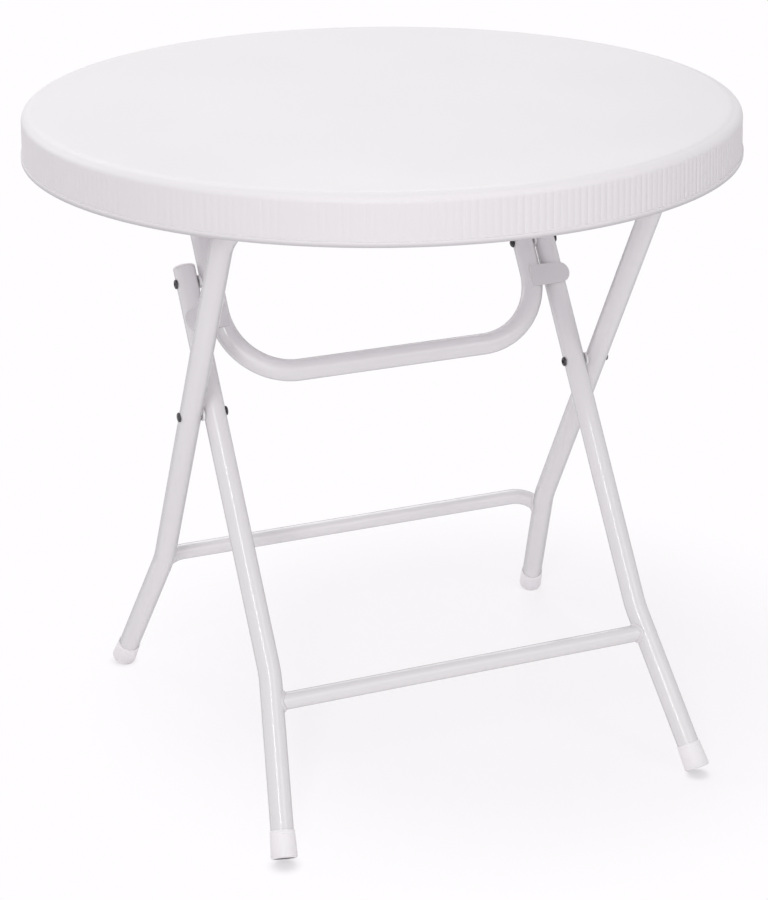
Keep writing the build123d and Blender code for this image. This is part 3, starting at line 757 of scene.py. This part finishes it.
def plugShell(place, up, k):
    # A spigot in the bore, a thin neck that leaves a dark seam, and a low head with a rounded edge
    outer, bore = k["tubeRadius"], k["tubeBore"] - pushFit
    profile = [(0.4, -6.0), (bore - 0.5, -6.0), (bore, -5.3), (bore, 0.0), (outer - 1.1, 0.02), (outer - 1.1, 0.5),
               (outer - 0.25, 0.52), (outer - 0.03, 0.75), (outer, 1.0)]
    profile += list(arc((outer - 1.0, 1.6), 1.0, 0, 82, 6))
    profile += [(outer - 2.6, 2.56), (outer - 5, 2.6), (0.4, 2.6)]
    return lathe(place, up, profile, 72)


for node, body, place in (("front_leg_plug", "front_frame", frontLegPath[0][0]),
                          ("lock_arm_plug", "lock_bar", armTop)):
    addPair(f"{node}_moulded", plugShell(place, frontLeg["up"], linkage), body,
            materials["footPlastic"], node)
print("plugs made")


# Bolts

pivotY, pivotHeight = lockPivot[1], lockPivot[2]
boltHeads = dict(
    crossing=dict(y=linkage["crossingY"], z=linkage["crossingHeight"], fromX=206.1, seatX=208.42, farX=261.5,
                  toX=263.9, head=5.5, shank=3.0),
    lockBolt=dict(y=pivotY, z=pivotHeight, fromX=235.8, seatX=233.5, toX=208.2, head=5.5, shank=3.0),
    lockNut=dict(y=pivotY, z=pivotHeight, fromX=176.5, seatX=180.5, toX=207.0, head=5.5, shank=3.0),
    socket=2.3, socketDepth=1.5,
)


def hexagon(angle):
    # Radius of a hexagon against its corner's, by angle
    third = math.pi / 3
    return math.cos(math.pi / 6) / np.cos((angle + third / 2) % third - third / 2)


def socketHead(b, depth):
    # A low domed head with a six-sided socket, from the socket's floor out to the seat
    r, s = b["head"], boltHeads["socket"]
    d = min(boltHeads["socketDepth"], depth - 0.5)
    return [(0.3, d + 0.15), (s * 0.96, d), (s, 0.25), (s + 0.3, 0.0), (s + 1.1, 0.08), (r - 1.0, 0.35),
            (r - 0.45, 0.75), (r - 0.1, 1.3), (r, depth - 0.3), (r - 0.15, depth)]


def boltShell(b, nut=False):
    # A head, its shank, and for the crossing's bolt a riveted dome at the far end; sixSided names the rows of
    # the profile that are hexagons
    sign = 1 if b["toX"] > b["fromX"] else -1
    depth = abs(b["seatX"] - b["fromX"])
    length = abs(b["toX"] - b["fromX"])
    r = b["head"]
    if nut:
        profile = [(0.3, 0.0), (1.4, 0.12), (2.6, 0.55), (3.3, 1.2), (3.6, 1.7), (r - 0.25, 1.8), (r, 2.2),
                   (r, depth - 0.3), (r - 0.3, depth)]
        sixSided = np.arange(5, 9)
    else:
        profile = socketHead(b, depth)
        sixSided = np.arange(1, 3)
    profile += [(b["shank"], depth)]
    if "farX" in b:
        far = abs(b["farX"] - b["fromX"])
        profile += [(b["shank"], far), (r - 0.15, far), (r, far + 0.35), (r - 0.1, far + 0.9), (r - 0.5, far + 1.5),
                    (r - 1.4, far + 2.05), (r - 2.8, far + 2.34), (0.3, length)]
    else:
        profile += [(b["shank"], length - 0.3), (b["shank"] - 0.3, length), (0.3, length)]

    def shape(angle, rows):
        scale = np.ones((len(rows), len(angle)))
        scale[sixSided] = hexagon(angle)
        return scale

    return lathe((b["fromX"], b["y"], b["z"]), (sign, 0, 0), profile, 48, shape)


for key, node, body, nut in (("crossing", "crossing_bolt", "rear_frame", False),
                             ("lockBolt", "lock_pivot_bolt", "front_frame", False),
                             ("lockNut", "lock_pivot_nut", "lock_bar", True)):
    addPair(f"{node}_steel", boltShell(boltHeads[key], nut), body, materials["darkSteel"], node)
print("bolts made")


# The moulded top's bosses, and the whole top

topBosses = dict(
    hingeY=rearLeg["at"](linkage["hingeHeight"])[1], hingeHeight=linkage["hingeHeight"], seatRadius=12.6,
    reach=33.5, fromX=96.0, toX=128.0, bracketY=frontLeg["at"](linkage["hingeHeight"])[1], bracketReach=18.0,
    bracketFromX=144.2, bracketToX=180.2, bracketFoot=712.0, buriedTop=732.5, bevel=0.7,
)


def bossShells(b):
    # Counter-clockwise in (y, z): along the foot, round the seat, along the foot, up and back
    seat = arc((b["hingeY"], b["hingeHeight"]), b["seatRadius"], 180, 0, 25)
    low, high, foot, top = b["hingeY"] - b["reach"], b["hingeY"] + b["reach"], b["hingeHeight"], b["buriedTop"]
    strapBoss = [(low, foot), *seat, (high, foot), (high, top), (low, top)]
    low, high, foot = b["bracketY"] - b["bracketReach"], b["bracketY"] + b["bracketReach"], b["bracketFoot"]
    bracketBoss = [(low, foot), (high, foot), (high, top), (low, top)]
    right = [profileBlock(strapBoss, b["fromX"], b["toX"], b["bevel"]),
             profileBlock(bracketBoss, b["bracketFromX"], b["bracketToX"], b["bevel"])]
    return right + [mirroredShell(shell) for shell in right]


addPiece("top_moulding", joinShells([topShell(topMoulding)] + bossShells(topBosses)), "table",
         materials["topPlastic"], ["table_top"], sharpDegrees=38)
print("moulded top made")


# Sheet steel parts with broken edges

sheetParts = {
    "frame_strap": dict(body="table", edge=0.35), "lock_bracket": dict(body="table", edge=0.4),
    "lock_stop": dict(body="lock_bar", edge=0.45),
}
edgeBreak = dict(segments=2, leastDegrees=50)


def mergedShell(node):
    # The CAD node's loose triangles with the corners that share a place made one
    mesh = nodes[node].data
    points = np.empty(len(mesh.vertices) * 3, np.float32)
    mesh.vertices.foreach_get("co", points)
    corners = np.empty(len(mesh.loops), np.int32)
    mesh.loops.foreach_get("vertex_index", corners)
    points = points.reshape(-1, 3).astype(float) / mm
    _, firstOf, oneOf = np.unique(np.round(points, 3), axis=0, return_index=True, return_inverse=True)
    triangles = oneOf.reshape(-1)[corners].reshape(-1, 3)
    solid = (triangles != np.roll(triangles, 1, axis=1)).all(axis=1)
    return points[firstOf], [triangles[solid]]


for node, part in sheetParts.items():
    for side in ("left", "right"):
        piece = addPiece(f"{node}_sheet_{side}", mergedShell(f"{node}_{side}"), part["body"],
                         materials["coatedSteel"], [f"{node}_{side}"], sharpDegrees=28)
        bevel = piece.modifiers.new("brokenEdge", "BEVEL")
        bevel.width = part["edge"] * mm
        bevel.segments = edgeBreak["segments"]
        bevel.limit_method = "ANGLE"
        bevel.angle_limit = math.radians(edgeBreak["leastDegrees"])
        bevel.harden_normals = True
print("sheet parts made")


# CAD nodes that keep their shape

keptFinishes = {
    "crossing_spacer_left": "spacerPlastic", "crossing_spacer_right": "spacerPlastic",
    "lock_pivot_spacer_left": "spacerPlastic", "lock_pivot_spacer_right": "spacerPlastic",
    "strap_screws": "zincSteel", "bracket_screws": "zincSteel", "lock_hinge_rivet_left": "zincSteel",
    "lock_hinge_rivet_right": "zincSteel",
}
for node, finish in keptFinishes.items():
    nodes[node].data.materials.clear()
    nodes[node].data.materials.append(materials[finish])
print("kept nodes finished:", len(keptFinishes))


# Floor, light and camera

studio = dict(
    floorRadius=9.0, floorColumns=128, floorColour=(0.90, 0.875, 0.90), floorMiddle=(0.14, 0.0, 0.0),
    floorReach=(0.26, 0.54), whiteShare=0.74, footReach=(0.007, 0.024), footShare=0.55, white=(1.0, 0.984, 1.0),
    worldLevel=0.45, aim=(0.0, 0.0, 0.45),
)
lamps = dict(
    over=dict(place=(0.0, -0.2, 3.6), width=2.5, height=2.5, power=10.0),
    rear=dict(place=(0.8, 3.4, 3.2), width=3.0, height=2.0, power=49.0),
    backLeft=dict(place=(-2.6, 3.0, 2.2), width=2.0, height=2.0, power=30.0),
    front=dict(place=(-1.0, -3.8, 1.3), width=2.0, height=2.0, power=18.5),
    frontRight=dict(place=(1.6, -3.6, 2.6), width=1.6, height=1.6, power=15.0),
    narrow=dict(place=(-1.6, -2.6, 2.2), width=0.30, height=1.8, power=25.0),
)


def seenRays(tree, kinds):
    # 1 for a ray of one of these kinds
    ray = addNode(tree, "ShaderNodeLightPath")
    seen = ray.outputs[kinds[0]]
    for kind in kinds[1:]:
        seen = mathNode(tree, "MAXIMUM", seen, ray.outputs[kind])
    return seen


def distanceFrom(tree, place, point):
    return addNode(tree, "ShaderNodeVectorMath", {"operation": "DISTANCE"}, i0=place, i1=point).outputs["Value"]


def makeFloor(look):
    # A disc that the camera sees from above only, near white, and that still takes the object's shadow
    columns = look["floorColumns"]
    angle = np.arange(columns) * 2 * math.pi / columns
    ring = np.stack([np.cos(angle), np.sin(angle), np.zeros(columns)], -1) * look["floorRadius"]
    mesh = bpy.data.meshes.new("studioFloor")
    mesh.from_pydata(ring.tolist(), [], [list(range(columns))])
    floor = bpy.data.objects.new("studioFloor", mesh)
    bpy.context.scene.collection.objects.link(floor)
    material = bpy.data.materials.new("studioFloor")
    material.use_nodes = True
    tree = material.node_tree
    tree.nodes.clear()
    paint = addNode(tree, "ShaderNodeBsdfDiffuse", Color=(*look["floorColour"], 1.0))
    glow = addNode(tree, "ShaderNodeEmission", Color=(*look["white"], 1.0), Strength=1.0)
    clear = addNode(tree, "ShaderNodeBsdfTransparent")
    seen = seenRays(tree, ("Is Camera Ray", "Is Glossy Ray", "Is Transmission Ray"))
    # The share of plain white grows with the distance from the object
    place = objectPlace(tree)
    whiteness = rangeNode(tree, distanceFrom(tree, place, look["floorMiddle"]), look["floorReach"],
                          (look["whiteShare"], 1.0), "SMOOTHSTEP")
    # Less of it close to each foot, so that its contact shadow shows
    for leg in legs.values():
        for sign in (-1, 1):
            sole = (sign * leg["sole"][0] * mm, leg["sole"][1] * mm, 0.0)
            near = rangeNode(tree, distanceFrom(tree, place, sole), look["footReach"], (look["footShare"], 1.0),
                             "SMOOTHSTEP")
            whiteness = mathNode(tree, "MINIMUM", whiteness, near)
    share = mathNode(tree, "MULTIPLY", seen, whiteness)
    top = addNode(tree, "ShaderNodeMixShader", Fac=share, i1=paint.outputs[0], i2=glow.outputs[0])
    under = addNode(tree, "ShaderNodeNewGeometry").outputs["Backfacing"]
    whole = addNode(tree, "ShaderNodeMixShader", Fac=under, i1=top.outputs[0], i2=clear.outputs[0])
    addNode(tree, "ShaderNodeOutputMaterial", Surface=whole.outputs[0])
    mesh.materials.append(material)


def makeWorld(look):
    world = bpy.data.worlds.new("studioLight")
    bpy.context.scene.world = world
    world.use_nodes = True
    tree = world.node_tree
    tree.nodes.clear()
    light = addNode(tree, "ShaderNodeBackground", Color=(1.0, 1.0, 1.0, 1.0), Strength=look["worldLevel"])
    seenWhite = addNode(tree, "ShaderNodeBackground", Color=(*look["white"], 1.0), Strength=1.0)
    seen = seenRays(tree, ("Is Camera Ray", "Is Transmission Ray", "Is Glossy Ray"))
    mixed = addNode(tree, "ShaderNodeMixShader", Fac=seen, i1=light.outputs[0], i2=seenWhite.outputs[0])
    addNode(tree, "ShaderNodeOutputWorld", Surface=mixed.outputs[0])


def makeLamp(name, lamp, aim):
    data = bpy.data.lights.new(name, "AREA")
    data.shape = "RECTANGLE"
    data.size, data.size_y, data.energy = lamp["width"], lamp["height"], lamp["power"]
    lampObject = bpy.data.objects.new(name, data)
    bpy.context.scene.collection.objects.link(lampObject)
    lampObject.location = lamp["place"]
    lampObject.rotation_mode = "QUATERNION"
    lampObject.rotation_quaternion = (Vector(aim) - Vector(lamp["place"])).to_track_quat("-Z", "Y")


makeFloor(studio)
makeWorld(studio)
for lampName, lamp in lamps.items():
    makeLamp(lampName + "Lamp", lamp, studio["aim"])

# Angles in radians; focal, centre, width and height in pixels of the photograph
viewpoint = dict(place=(-0.910471, -2.354112, 1.332998), yaw=-0.391426, pitch=-0.357080, roll=-0.001707,
                 focal=2316.27, centreX=434.16, centreY=386.787, width=768, height=900, sensor=36.0)


def makeCamera(v):
    # The axes come from yaw, pitch and roll; the centre of the lens's view is a little off the picture's centre
    sinYaw, cosYaw, sinPitch, cosPitch = (f(v[key]) for key in ("yaw", "pitch") for f in (math.sin, math.cos))
    forward = np.array([-cosPitch * sinYaw, cosPitch * cosYaw, sinPitch])
    right = np.array([cosYaw, sinYaw, 0.0])
    up = np.cross(right, forward)
    c, s = math.cos(v["roll"]), math.sin(v["roll"])
    right, up = c * right + s * up, -s * right + c * up
    data = bpy.data.cameras.new("photographCamera")
    data.sensor_fit = "AUTO"
    data.sensor_width = v["sensor"]
    data.lens = v["focal"] * v["sensor"] / v["height"]
    data.shift_x = (v["width"] / 2 - v["centreX"]) / v["height"]
    data.shift_y = (v["centreY"] - v["height"] / 2) / v["height"]
    data.clip_start, data.clip_end = 0.05, 60.0
    camera = bpy.data.objects.new("photographCamera", data)
    bpy.context.scene.collection.objects.link(camera)
    camera.matrix_world = Matrix((
        (right[0], up[0], -forward[0], v["place"][0]), (right[1], up[1], -forward[1], v["place"][1]),
        (right[2], up[2], -forward[2], v["place"][2]), (0, 0, 0, 1)))
    bpy.context.scene.camera = camera


makeCamera(viewpoint)
bpy.context.scene.view_settings.view_transform = "Standard"
print("floor, light and camera set")
